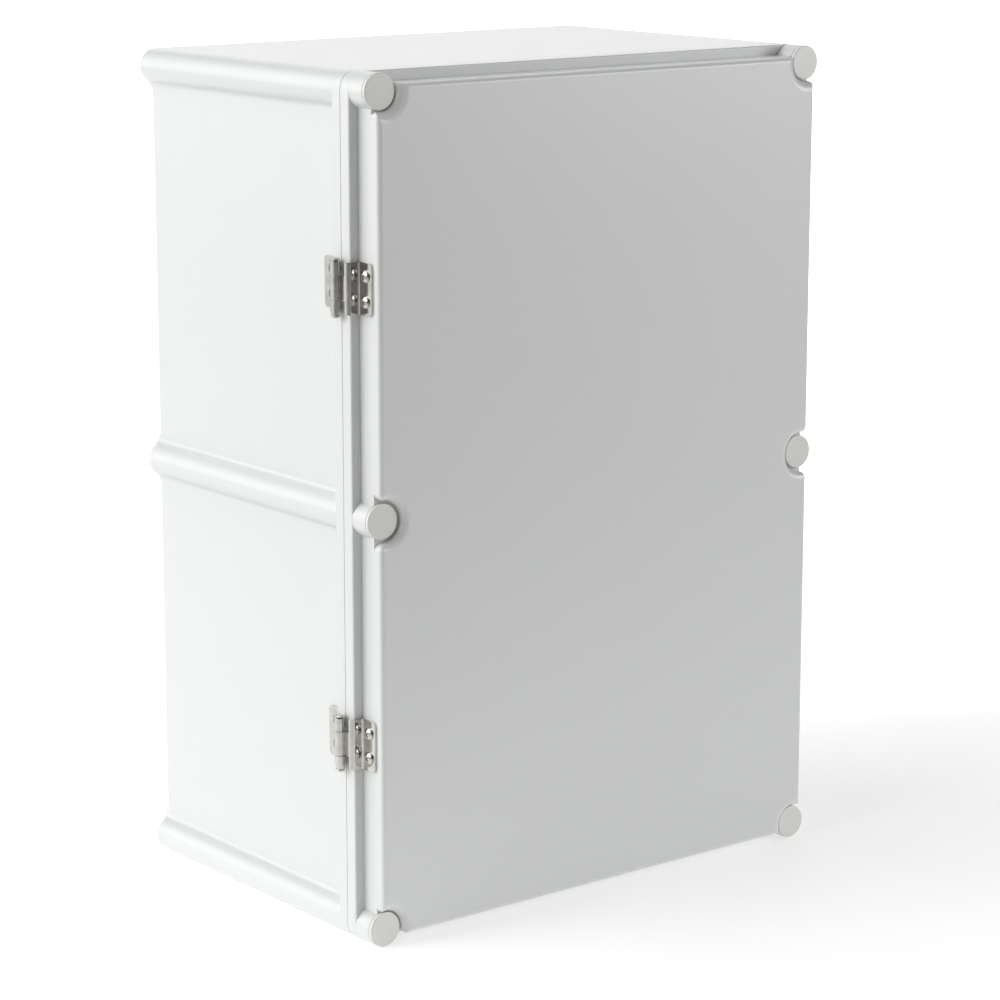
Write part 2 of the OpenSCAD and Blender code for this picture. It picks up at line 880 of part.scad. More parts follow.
base_shell();
cover_shell();
cover_gasket();
tower_inserts();
plate_inserts();
hinge_base_leaf(hinge_offset);  // hinge_base_leaf_upper
hinge_base_leaf(-hinge_offset);  // hinge_base_leaf_lower
hinge_cover_leaf(hinge_offset);  // hinge_cover_leaf_upper
hinge_cover_leaf(-hinge_offset);  // hinge_cover_leaf_lower
hinge_pin(hinge_offset);  // hinge_pin_upper
hinge_pin(-hinge_offset);  // hinge_pin_lower
hinge_base_screws();
hinge_base_nuts();
hinge_cover_screws();
hinge_cover_nuts();
at_tower(TOP_LEFT) cover_screw();  // cover_screw_top_left
at_tower(MID_LEFT) cover_screw();  // cover_screw_mid_left
at_tower(BOTTOM_LEFT) cover_screw();  // cover_screw_bottom_left
at_tower(TOP_RIGHT) cover_screw();  // cover_screw_top_right
at_tower(MID_RIGHT) cover_screw();  // cover_screw_mid_right
at_tower(BOTTOM_RIGHT) cover_screw();  // cover_screw_bottom_right
at_tower(TOP_LEFT) screw_cap();  // screw_cap_top_left
at_tower(MID_LEFT) screw_cap();  // screw_cap_mid_left
at_tower(BOTTOM_LEFT) screw_cap();  // screw_cap_bottom_left
at_tower(TOP_RIGHT) screw_cap();  // screw_cap_top_right
at_tower(MID_RIGHT) screw_cap();  // screw_cap_mid_right
at_tower(BOTTOM_RIGHT) screw_cap();  // screw_cap_bottom_right
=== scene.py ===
"""Looks of the hinged polycarbonate enclosure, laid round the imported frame.

Case, cover and caps are moulded polycarbonate, the hinges are polished
stainless sheet, and every screw, nut and insert is built with its drive,
thread or knurl. Sizes are in metres unless a name says otherwise.
"""

import math

import bmesh
import bpy
from bpy.props import FloatProperty, FloatVectorProperty, IntProperty, PointerProperty, StringProperty
from mathutils import Euler, Matrix, Vector


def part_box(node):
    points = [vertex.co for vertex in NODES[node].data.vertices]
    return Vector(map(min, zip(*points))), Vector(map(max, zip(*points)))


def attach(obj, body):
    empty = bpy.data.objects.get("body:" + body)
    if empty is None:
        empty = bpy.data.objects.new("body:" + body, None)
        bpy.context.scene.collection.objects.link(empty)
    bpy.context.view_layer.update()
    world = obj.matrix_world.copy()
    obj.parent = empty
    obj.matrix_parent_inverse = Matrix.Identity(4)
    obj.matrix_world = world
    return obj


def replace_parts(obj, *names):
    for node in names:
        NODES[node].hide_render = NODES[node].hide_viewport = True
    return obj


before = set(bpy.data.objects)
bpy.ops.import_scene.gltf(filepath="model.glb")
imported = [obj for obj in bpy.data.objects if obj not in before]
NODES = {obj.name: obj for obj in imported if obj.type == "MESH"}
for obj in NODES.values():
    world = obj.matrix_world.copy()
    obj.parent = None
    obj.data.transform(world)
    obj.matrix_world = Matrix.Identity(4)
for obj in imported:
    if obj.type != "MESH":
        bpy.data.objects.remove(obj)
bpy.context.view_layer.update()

bl_info = {
    "name": "Hinged enclosure looks",
    "version": (1, 0, 0),
    "blender": (4, 5, 0),
    "location": "3D View > Sidebar > Enclosure",
    "description": "Finishes, fasteners and studio for a hinged polycarbonate enclosure",
    "category": "Object",
}

MM = 0.001
SIDES = ("left", "right")
LEVELS = ("top", "mid", "bottom")
PLACES = [f"{level}_{side}" for side in SIDES for level in LEVELS]

MERGE = 0.001 * MM  # points nearer than this become one
SHARP_ANGLE = math.radians(32)  # edges that turn more than this stay sharp
EDGE_SAMPLES = 6  # samples of a shader's rounded edge
NOISE_RANGE = (0.3, 0.7)  # the values of a noise pattern that most of it lies between
HEAD_POINTS = 48  # points round a leaf screw's head or nut
STEM_POINTS = 32  # points round a cover screw's neck and tip
HEXAGON = math.cos(math.pi / 6)  # share of a hexagon's corner radius that its flats stand at


# ---- materials ----


def linear(hex_colour):
    """sRGB hex text to a linear RGBA tuple."""
    parts = [int(hex_colour[i : i + 2], 16) / 255 for i in (1, 3, 5)]
    return tuple(
        c / 12.92 if c <= 0.04045 else ((c + 0.055) / 1.055) ** 2.4 for c in parts
    ) + (1.0,)


def add_node(tree, kind, *values, **named):
    """Adds a shader node. Values fill its inputs in order. A capitalised name is an input, with _
    for a space, and any other name a property. A value is a number, a vector, a hex colour, a
    node's output, or a node that stands for its first output."""
    node = tree.nodes.new("ShaderNode" + kind)
    for name, value in named.items():
        if name[0].islower():
            setattr(node, name, value)
    given = list(zip([socket for socket in node.inputs if socket.enabled], values))
    for name, value in named.items():
        if name[0].isupper():
            given.append((node.inputs[name.replace("_", " ")], value))
    for socket, value in given:
        if isinstance(value, bpy.types.Node):
            value = next(output for output in value.outputs if output.enabled)
        if isinstance(value, bpy.types.NodeSocket):
            tree.links.new(value, socket)
        else:
            socket.default_value = linear(value) if isinstance(value, str) else value
    return node


def new_material(name):
    """An empty material, its node tree and its object coordinates."""
    material = bpy.data.materials.new(name)
    material.use_nodes = True
    tree = material.node_tree
    tree.nodes.clear()
    return material, tree, add_node(tree, "TexCoord").outputs["Object"]


def finish_material(tree, **inputs):
    """Ends a material with a Principled shader that has these inputs."""
    add_node(tree, "OutputMaterial", add_node(tree, "BsdfPrincipled", **inputs))


def relief(tree, height, depth_mm, edge_mm=None):
    """A normal that follows a height pattern, over sharp edges rounded to edge_mm."""
    bump = add_node(tree, "Bump", Height=height, Distance=depth_mm * MM)
    if edge_mm:
        rounded = add_node(tree, "Bevel", edge_mm * MM, samples=EDGE_SAMPLES)
        tree.links.new(rounded.outputs["Normal"], bump.inputs["Normal"])
    return bump


def grained_metal(name, grain_mm, colours, roughness, depth_mm):
    """A metal whose colour, gloss and height follow one fine grain."""
    material, tree, coords = new_material(name)
    grain = add_node(tree, "TexNoise", coords, Scale=1 / (grain_mm * MM), Detail=3.0)
    finish_material(
        tree,
        Metallic=1.0,
        Base_Color=add_node(tree, "Mix", grain, *colours, data_type="RGBA"),
        Roughness=add_node(tree, "MapRange", grain, *NOISE_RANGE, *roughness),
        Normal=relief(tree, grain, depth_mm, edge_mm=0.15),
    )
    return material


def dress(nodes, material):
    """Gives CAD nodes one material."""
    for node in nodes:
        slots = NODES[node].data.materials
        slots.clear()
        slots.append(material)


# ---- shapes ----


def make_piece(name, mesh, body, material):
    """A finished piece from a bmesh: merged, with normals outward, riding on a body."""
    bmesh.ops.remove_doubles(mesh, verts=mesh.verts, dist=MERGE)
    bmesh.ops.recalc_face_normals(mesh, faces=mesh.faces)
    data = bpy.data.meshes.new(name)
    mesh.to_mesh(data)
    mesh.free()
    piece = bpy.data.objects.new(name, data)
    bpy.context.scene.collection.objects.link(piece)
    for face in data.polygons:
        face.use_smooth = True
    data.set_sharp_from_angle(angle=SHARP_ANGLE)
    data.materials.append(material)
    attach(piece, body)
    return piece


def solids_of(node):
    """The (low, high) corners of each separate solid in a CAD node, from the lowest up."""
    mesh = bmesh.new()
    mesh.from_mesh(NODES[node].data)
    bmesh.ops.remove_doubles(mesh, verts=mesh.verts, dist=MERGE)
    boxes, unseen = [], set(mesh.verts)
    while unseen:
        group = [unseen.pop()]
        for vert in group:
            for edge in vert.link_edges:
                other = edge.other_vert(vert)
                if other in unseen:
                    unseen.remove(other)
                    group.append(other)
        low, high = (
            Vector([pick(v.co[axis] for v in group) for axis in range(3)]) for pick in (min, max)
        )
        boxes.append((low, high))
    mesh.free()
    return sorted(boxes, key=lambda box: (round(box[0].z, 5), round(box[0].x, 5)))


def circle(radius, height, count):
    """Points of a circle round Z, from +X on. Radius may be a function of the turn, 0 to 1,
    and height a function of the radius."""
    points = []
    for index in range(count):
        turn = index / count
        r = radius(turn) if callable(radius) else radius
        z = height(r) if callable(height) else height
        points.append((r * math.cos(math.tau * turn), r * math.sin(math.tau * turn), z))
    return points


def loop(mesh, points):
    """A closed loop of edges through points."""
    verts = [mesh.verts.new(point) for point in points]
    return [mesh.edges.new(pair) for pair in zip(verts, verts[1:] + verts[:1])]


def skin(mesh, *outlines, close=""):
    """Faces from one outline to the next; close names what else is shut: first, last or ring."""
    loops = [loop(mesh, points) for points in outlines]
    if "first" in close:
        bmesh.ops.edgeloop_fill(mesh, edges=loops[0])
    if "last" in close:
        bmesh.ops.edgeloop_fill(mesh, edges=loops[-1])
    if "ring" in close:
        loops.append(loops[0])
    for first, second in zip(loops, loops[1:]):
        bmesh.ops.bridge_loops(mesh, edges=first + second)


def knurl(radius, depth, points):
    """The radius of a knurled ring as a function of the turn: every second point is cut in."""
    return lambda turn: radius - (depth if round(turn * points) % 2 else 0)


def thread(mesh, crest, pitch, low, high, steps=20):
    """Adds a helical thread about Z, cut flat at both ends; steps are the points of a turn."""
    depth = 0.6 * pitch
    root = crest - depth
    turns = math.ceil((high - low) / pitch) + 3
    # One ridge from foot to foot and the land after it: the radius, and the share of the pitch.
    ridge = ((root, 0.06), (crest, 0.44), (crest, 0.56), (root, 0.94), (root, 1.06))
    rod = bmesh.new()
    verts = [rod.verts.new((r, 0, low + (share - 2) * pitch)) for r, share in ridge]
    edges = [rod.edges.new(pair) for pair in zip(verts, verts[1:])]
    bmesh.ops.spin(
        rod,
        geom=verts + edges,
        cent=(0, 0, 0),
        axis=(0, 0, 1),
        dvec=(0, 0, pitch / steps),
        angle=math.tau * turns,
        steps=steps * turns,
    )
    bmesh.ops.remove_doubles(rod, verts=rod.verts, dist=2 * MERGE)
    for height, outward in ((low, -1), (high, 1)):
        bmesh.ops.bisect_plane(
            rod,
            geom=rod.verts[:] + rod.edges[:] + rod.faces[:],
            plane_co=(0, 0, height),
            plane_no=(0, 0, outward),
            clear_outer=True,
        )
    bmesh.ops.holes_fill(rod, edges=[edge for edge in rod.edges if edge.is_boundary], sides=0)
    add_mesh(mesh, rod)


def add_mesh(mesh, other, places=(Matrix(),)):
    """Adds another mesh at each place and frees it."""
    data = bpy.data.meshes.new("template")
    other.to_mesh(data)
    other.free()
    for place in places:
        before = len(mesh.verts)
        mesh.from_mesh(data)
        mesh.verts.ensure_lookup_table()
        bmesh.ops.transform(mesh, matrix=place, verts=mesh.verts[before:])
    bpy.data.meshes.remove(data)


def at(place, turned):
    """The matrix that turns a piece made at the origin and then moves it to its place."""
    return Matrix.Translation(place) @ turned


# A piece made along +Z is turned so that its top looks left or forward.
TO_LEFT = Matrix.Rotation(math.radians(-90), 4, "Y")
TO_FRONT = Matrix.Rotation(math.radians(90), 4, "X")


# ---- sizes and colours ----


class EnclosureFinish(bpy.types.PropertyGroup):
    case_colour: StringProperty(
        name="Case colour",
        description="Moulded colour of base and cover",
        default="#d3d5d4",
    )
    cap_colour: StringProperty(
        name="Cap colour",
        description="Moulded colour of the screw caps",
        default="#d8d8d5",
    )
    # Painted highlight with some rubbed wear: the lighter colour that sharp moulded edges are painted
    # towards.
    edge_wear_and_highlight_colour: StringProperty(
        name="Edge wear and highlight colour",
        description="Colour of the moulded edges, rubbed lighter",
        default="#e2e3e2",
    )
    skin_size: FloatProperty(
        name="Skin size",
        description="Width of the fine waves of a moulded skin, in millimetres",
        default=1.8,
        min=0.2,
    )
    edge_radius: FloatProperty(
        name="Edge radius",
        description="Radius that a sharp moulded edge shows, in millimetres",
        default=0.5,
        min=0.1,
    )
    steel_colour: StringProperty(
        name="Steel colour",
        description="Colour of the stainless hinges",
        default="#cfcdca",
    )
    steel_stain: StringProperty(
        name="Steel stain",
        description="Colour of the darker clouds on the hinges",
        default="#bdbbb7",
    )


class EnclosureScrews(bpy.types.PropertyGroup):
    pan_head: FloatProperty(
        name="Pan head",
        description="Height of a leaf screw's head, in millimetres",
        default=2.4,
    )
    leaf_pitch: FloatProperty(
        name="Leaf screw pitch",
        description="Thread pitch of the leaf screws, in millimetres",
        default=0.7,
    )
    cover_head: FloatProperty(
        name="Cover screw head",
        description="Height of a cover screw's head, in millimetres",
        default=4.0,
    )
    cover_pitch: FloatProperty(
        name="Cover screw pitch",
        description="Thread pitch of the cover screws, in millimetres",
        default=1.0,
    )
    insert_bore: FloatProperty(
        name="Insert bore",
        description="Bore of a brass insert, as a share of its diameter",
        default=0.68,
        subtype="FACTOR",
    )
    knurls: IntProperty(
        name="Knurls",
        description="Ridges round a screw head or an insert",
        default=36,
        min=8,
    )


class EnclosureStudio(bpy.types.PropertyGroup):
    camera_place: FloatVectorProperty(
        name="Camera place",
        description="Where the camera stands",
        default=(-1.324, -1.821, 0.440),
        subtype="TRANSLATION",
    )
    heading: FloatProperty(
        name="Heading",
        description="Angle by which the camera looks to the right of straight ahead",
        default=math.radians(38.25),
        subtype="ANGLE",
    )
    tilt: FloatProperty(
        name="Tilt",
        description="Angle by which the camera looks down",
        default=math.radians(11.69),
        subtype="ANGLE",
    )
    focal_length: FloatProperty(
        name="Focal length",
        description="Lens of the camera, in millimetres",
        default=114.4,
    )
    shift: FloatVectorProperty(
        name="Shift",
        description="Shift of the lens, as a share of the sensor's width",
        default=(0.007, -0.039),
        size=2,
    )
    sky: FloatProperty(
        name="Sky strength",
        description="Brightness of the even light from all sides",
        default=0.17,
    )
    # Strength of the floor's painted glow, which it gives off though it is no lamp.
    floor_glow: FloatProperty(
        name="Floor glow",
        description="Light that the lit table gives off",
        default=0.45,
    )
    # Half width of the floor's painted glow patch.
    painted_glow_reach: FloatProperty(
        name="Painted glow reach",
        description="Half width of the lit table",
        default=1.0,
        unit="LENGTH",
    )
    key: FloatProperty(
        name="Key power",
        description="Power of the large light on the left",
        default=47.0,
        unit="POWER",
    )


# ---- operators ----


class ENCLOSURE_OT_polycarbonate(bpy.types.Operator):
    """Moulded polycarbonate on base, cover and caps"""

    bl_idname = "enclosure.polycarbonate"
    bl_label = "Moulded shells"

    def execute(self, context):
        finish = context.scene.enclosure_finish
        caps = ["screw_cap_" + place for place in PLACES]
        for name, nodes, colour, drift_mm in (
            ("Moulded polycarbonate case", ["base_shell"], finish.case_colour, 31),
            ("Moulded polycarbonate cover", ["cover_shell"], finish.case_colour, 47),
            ("Moulded polycarbonate cap", caps, finish.cap_colour, 13),
        ):
            dress(nodes, self.polycarbonate(finish, name, colour, drift_mm))
        return {"FINISHED"}

    def polycarbonate(self, finish, name, colour, drift_mm):
        # Polycarbonate, injection moulded in a polished tool. It gives the eye an even
        # pale skin, a soft sheen with very slight waves, and sharp edges painted a little lighter:
        # a painted highlight along them, with some rubbed wear.
        # The waves are drawn wider than real ones, so that they show.
        material, tree, coords = new_material(name)

        # A sharp edge is painted lighter, as a painted highlight with some rubbed wear, where
        # the surface turns within 0.6 mm: from 6 degrees on, and in full at 37 degrees, whose
        # cosines these are.
        turned = add_node(tree, "Bevel", 0.6 * MM, samples=EDGE_SAMPLES)
        flat = add_node(tree, "NewGeometry").outputs["Normal"]
        flatness = add_node(tree, "VectorMath", turned, flat, operation="DOT_PRODUCT")
        # painted edge highlight with some rubbed wear: the share of the lighter colour at sharp edges
        edge_wear_and_highlight = add_node(tree, "MapRange", flatness, 0.995, 0.8, 0.0, 0.4)

        fine = add_node(tree, "TexNoise", coords, Scale=1 / (finish.skin_size * MM), Detail=2.0)
        broad = add_node(tree, "TexNoise", coords, Scale=1 / (drift_mm * MM), Detail=2.0)
        waves = add_node(tree, "Math", fine, broad, operation="ADD")
        height = add_node(tree, "Math", broad, 3.0, fine, operation="MULTIPLY_ADD")
        finish_material(
            tree,
            IOR=1.585,
            # base colour: painted highlight with some rubbed wear, lighter along sharp edges
            Base_Color=add_node(tree, "Mix", edge_wear_and_highlight, colour, finish.edge_wear_and_highlight_colour, data_type="RGBA"),
            Roughness=add_node(tree, "MapRange", waves, 0.6, 1.4, 0.28, 0.34),
            Normal=relief(tree, height, 0.004, finish.edge_radius),
        )
        return material


class ENCLOSURE_OT_gasket(bpy.types.Operator):
    """Foamed seal in the cover's groove"""

    bl_idname = "enclosure.gasket"
    bl_label = "Gasket"

    def execute(self, context):
        # Polyurethane foam, poured in place: dark, matt, full of fine pores, each painted
        # darker towards its middle as painted shade in its hollow.
        material, tree, coords = new_material("Foamed polyurethane seal")
        pore_size = 0.7 * MM
        pores = add_node(tree, "TexVoronoi", coords, Scale=1 / pore_size)
        # painted shade: each pore darker towards its middle, where the bump dips
        painted_pore_shade = add_node(tree, "MapRange", pores, 0.1, 0.6, 0.0, 1.0)
        finish_material(
            tree,
            IOR=1.45,
            Base_Color=add_node(tree, "Mix", painted_pore_shade, "#1c1d1f", "#34363a", data_type="RGBA"),
            Roughness=0.85,
            Normal=relief(tree, pores, 0.15),
        )
        dress(["cover_gasket"], material)
        return {"FINISHED"}


class ENCLOSURE_OT_hinges(bpy.types.Operator):
    """Polished stainless sheet on leaves and pins"""

    bl_idname = "enclosure.hinges"
    bl_label = "Hinges"

    def execute(self, context):
        kinds = ("base_leaf", "cover_leaf", "pin")
        nodes = [f"hinge_{kind}_{level}" for kind in kinds for level in ("upper", "lower")]
        dress(nodes, self.stainless(context.scene.enclosure_finish))
        return {"FINISHED"}

    def stainless(self, finish):
        # Stainless sheet, barrel polished after bending: mirror streaks along the bends,
        # fine rolling lines up the sheet and small knocks that break the reflections. The
        # lines are drawn 0.3 mm wide, which is coarser than real ones, so that they show.
        material, tree, coords = new_material("Polished stainless sheet")
        along_sheet = add_node(tree, "Mapping", coords, Scale=(1, 1, 1 / 16))
        lines = add_node(tree, "TexNoise", along_sheet, Scale=1 / (0.3 * MM), Detail=3.0)
        knocks = add_node(tree, "TexNoise", coords, Scale=1 / (3.0 * MM), Detail=3.0)
        clouds = add_node(tree, "TexNoise", coords, Scale=1 / (7.0 * MM), Detail=4.0)
        stain = add_node(tree, "MapRange", clouds, 0.35, 0.65, 0.0, 1.0)
        colours = (finish.steel_colour, finish.steel_stain)
        height = add_node(tree, "Math", knocks, 5.0, lines, operation="MULTIPLY_ADD")
        finish_material(
            tree,
            Metallic=1.0,
            Anisotropic=0.3,
            Base_Color=add_node(tree, "Mix", stain, *colours, data_type="RGBA"),
            Roughness=add_node(tree, "MapRange", lines, *NOISE_RANGE, 0.04, 0.11),
            Normal=relief(tree, height, 0.003, edge_mm=0.2),
        )
        return material


class ENCLOSURE_OT_leaf_screws(bpy.types.Operator):
    """Cross-recessed pan-head screws and hexagon nuts of the hinge leaves"""

    bl_idname = "enclosure.leaf_screws"
    bl_label = "Leaf screws and nuts"

    def execute(self, context):
        sizes = context.scene.enclosure_screws
        # Stainless wire, headed cold and barrel polished: a bright crown and a dark recess.
        material = grained_metal(
            "Cold-headed stainless", 0.4, ("#cbc9c6", "#b3b0ac"), (0.06, 0.16), depth_mm=0.006
        )
        for leaf in ("base", "cover"):
            node = f"hinge_{leaf}_screws"
            low, high = solids_of(node)[0]
            screws = bmesh.new()
            add_mesh(screws, self.screw(sizes, low, high), self.places(node, sizes.pan_head * MM))
            piece = make_piece(f"{leaf}_leaf_screws", screws, leaf, material)
            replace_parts(piece, node)

            node = f"hinge_{leaf}_nuts"
            low, high = solids_of(node)[0]
            nuts = bmesh.new()
            add_mesh(nuts, self.nut(low, high), self.places(node, high.x - low.x))
            piece = make_piece(f"{leaf}_leaf_nuts", nuts, leaf, material)
            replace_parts(piece, node)
        return {"FINISHED"}

    def places(self, node, height):
        """Where each one goes: z = 0 is that height behind the left end of its CAD solid."""
        return [
            at((low.x + height, (low.y + high.y) / 2, (low.z + high.z) / 2), TO_LEFT)
            for low, high in solids_of(node)
        ]

    def screw(self, sizes, low, high):
        """A pan-head screw with its head standing on z = 0 and its thread below."""
        head_r, head_h = (high.z - low.z) / 2, sizes.pan_head * MM
        crown = 0.62 * head_h
        ball_r = (head_r**2 + crown**2) / (2 * crown)
        arm, half = 0.5 * head_r, 0.13 * head_r  # the cross recess, from its middle
        recess_floor = 0.34 * head_h
        chamfer = 0.12 * MM

        def crown_at(r):
            return head_h - ball_r + math.sqrt(ball_r**2 - r**2)

        def cross(scale, height=None):
            """The outline of the recess at a height, or where it meets the crown."""
            corners = [(arm, -half), (arm, half), (half, half), (half, arm), (-half, arm), (-half, half)]
            corners += [(-x, -y) for x, y in corners]
            points = [Matrix.Rotation(math.radians(45), 2) @ Vector(corner) for corner in corners]
            heights = [crown_at(p.length) if height is None else height for p in points]
            return [(p.x * scale, p.y * scale, z) for p, z in zip(points, heights)]

        mesh = bmesh.new()
        # From the floor of the recess up to the crown, and out and down to the seat.
        skin(
            mesh,
            cross(0.35, 0.6 * recess_floor),
            cross(0.72, recess_floor),
            cross(0.94, crown_at(arm) - chamfer),
            cross(1.0),
            *[circle(r * head_r, crown_at, HEAD_POINTS) for r in (0.58, 0.7, 0.82, 0.92, 0.98)],
            circle(head_r, crown_at(head_r) - 0.08 * MM, HEAD_POINTS),
            circle(head_r, chamfer, HEAD_POINTS),
            circle(head_r - 0.15 * MM, 0, HEAD_POINTS),
            close="first last",
        )
        pitch = sizes.leaf_pitch * MM
        shank_r = 2.75 * pitch
        overlap = 0.2 * MM  # how far the thread runs up into the head
        thread(mesh, shank_r, pitch, head_h - (high.x - low.x), overlap)
        return mesh

    def nut(self, low, high):
        """A hexagon nut with chamfered corners and bore, standing on z = 0."""
        tall, flat = high.x - low.x, min(high.y - low.y, high.z - low.z) / 2
        corner = flat / HEXAGON
        bore = 0.5 * flat
        bore_chamfer = 0.25 * MM

        def hexagon(turn):
            return flat / math.cos((turn * 6 % 1 - 0.5) * math.tau / 6)

        def rim(height, inward):
            """The hexagon's rim, whose corners are chamfered inward: up is 1, down is -1."""

            def slope(r):
                return height + 0.6 * inward * max(r - 0.96 * corner, 0)

            return circle(hexagon, slope, HEAD_POINTS)

        def face(height):
            return circle(lambda turn: min(hexagon(turn), 0.95 * corner), height, HEAD_POINTS)

        mesh = bmesh.new()
        # Out over the lower face, up the sides, in over the upper face and down the bore.
        skin(
            mesh,
            circle(bore, bore_chamfer, HEAD_POINTS),
            circle(bore + bore_chamfer, 0, HEAD_POINTS),
            face(0),
            rim(0.1 * MM, 1),
            rim(tall - 0.1 * MM, -1),
            face(tall),
            circle(bore + bore_chamfer, tall, HEAD_POINTS),
            circle(bore, tall - bore_chamfer, HEAD_POINTS),
            close="ring",
        )
        return mesh


class ENCLOSURE_OT_cover_screws(bpy.types.Operator):
    """Captive socket screws of the cover"""

    bl_idname = "enclosure.cover_screws"
    bl_label = "Cover screws"

    def execute(self, context):
        sizes = context.scene.enclosure_screws
        # Stainless bar, turned: dull flanks, bright faces, fine tool marks round the head.
        material = grained_metal(
            "Turned stainless", 0.35, ("#c4c2be", "#a5a29d"), (0.18, 0.34), depth_mm=0.015
        )
        for place in PLACES:
            node = f"cover_screw_{place}"
            low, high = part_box(node)
            seat = ((low.x + high.x) / 2, low.y + sizes.cover_head * MM, (low.z + high.z) / 2)
            mesh = bmesh.new()
            add_mesh(mesh, self.screw(sizes, low, high), [at(seat, TO_FRONT)])
            body = f"screw_{place}"
            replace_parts(make_piece(f"captive_{node}", mesh, body, material), node)
        return {"FINISHED"}

    def screw(self, sizes, low, high):
        """A socket screw, its head standing on z = 0, a thinner neck and a thread below."""
        head_r, head_h = (high.x - low.x) / 2, sizes.cover_head * MM
        length = high.y - low.y - head_h
        shank_r = 3 * sizes.cover_pitch * MM
        points = 2 * sizes.knurls
        knurled = knurl(head_r, 0.22 * MM, points)
        socket_r = 0.8 * shank_r / HEXAGON
        socket_rim = 0.15 * MM
        seat_gap = 0.05 * MM  # the head stays this far off its seat when it is driven in
        mesh = bmesh.new()
        # The head: from the socket's floor up to the top, and out and down to the seat.
        skin(
            mesh,
            circle(0.98 * socket_r, 0.4 * head_h, 6),
            circle(socket_r, head_h - socket_rim, 6),
            circle(socket_r + socket_rim, head_h, 6),
            circle(head_r - 0.6 * MM, head_h, points),
            circle(lambda turn: knurled(turn) - 0.1 * MM, head_h - 0.45 * MM, points),
            circle(knurled, head_h - 0.6 * MM, points),
            circle(knurled, 0.3 * MM, points),
            circle(head_r - 0.3 * MM, seat_gap, points),
            close="first last",
        )
        # The neck, the thread and the chamfered tip overlap, so that no gap shows.
        neck = 0.42 * length
        neck_r = 0.8 * shank_r
        skin(
            mesh,
            circle(neck_r, -neck - 0.3 * MM, STEM_POINTS),
            circle(neck_r, -0.4 * MM, STEM_POINTS),
            circle(0.95 * shank_r, 0.1 * MM, STEM_POINTS),
            close="first last",
        )
        thread(mesh, shank_r, sizes.cover_pitch * MM, -length + 0.8 * MM, -neck)
        skin(
            mesh,
            circle(0.62 * shank_r, -length, STEM_POINTS),
            circle(0.82 * shank_r, -length + 0.9 * MM, STEM_POINTS),
            close="first last",
        )
        return mesh


class ENCLOSURE_OT_inserts(bpy.types.Operator):
    """Knurled brass inserts in the towers and behind the mounting plate"""

    bl_idname = "enclosure.inserts"
    bl_label = "Brass inserts"

    def execute(self, context):
        sizes = context.scene.enclosure_screws
        # Brass, turned and knurled, pressed in warm: yellow, a little brown in the knurls.
        material = grained_metal("Turned brass", 0.6, ("#d8b46a", "#b48c46"), (0.2, 0.36), depth_mm=0.02)
        for node in ("tower_inserts", "plate_inserts"):
            boxes = solids_of(node)
            places = [
                at(((low.x + high.x) / 2, high.y, (low.z + high.z) / 2), TO_FRONT)
                for low, high in boxes
            ]
            mesh = bmesh.new()
            add_mesh(mesh, self.insert(sizes, *boxes[0]), places)
            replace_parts(make_piece(f"knurled_{node}", mesh, "base", material), node)
        return {"FINISHED"}

    def insert(self, sizes, low, high):
        """A brass sleeve standing on z = 0: two knurled bands, chamfers and a grooved bore."""
        tall, outer = high.y - low.y, (high.x - low.x) / 2
        bore = sizes.insert_bore * outer
        points = 2 * sizes.knurls
        knurled = knurl(outer, 0.2 * MM, points)
        chamfer = 0.4 * MM
        waist = outer - 0.35 * MM

        # The bore's grooves, one to a pitch of the cover screws, from the top down.
        steps = 2 * round(tall / (sizes.cover_pitch * MM))
        groove, grooved_height = bore + 0.3 * MM, tall - 2 * chamfer
        outside = [
            circle(bore + 0.5 * MM, 0, points),
            circle(outer - chamfer, 0, points),
            circle(knurled, chamfer, points),
            circle(knurled, 0.42 * tall, points),
            circle(waist, 0.45 * tall, points),
            circle(waist, 0.55 * tall, points),
            circle(knurled, 0.58 * tall, points),
            circle(knurled, tall - chamfer, points),
            circle(outer - 0.3 * MM, tall, points),
            circle(bore + 0.5 * MM, tall, points),
        ]
        inside = [
            circle(groove if index % 2 else bore, chamfer + grooved_height * index / steps, points)
            for index in range(steps, -1, -1)
        ]
        mesh = bmesh.new()
        skin(mesh, *outside, *inside, close="ring")
        return mesh


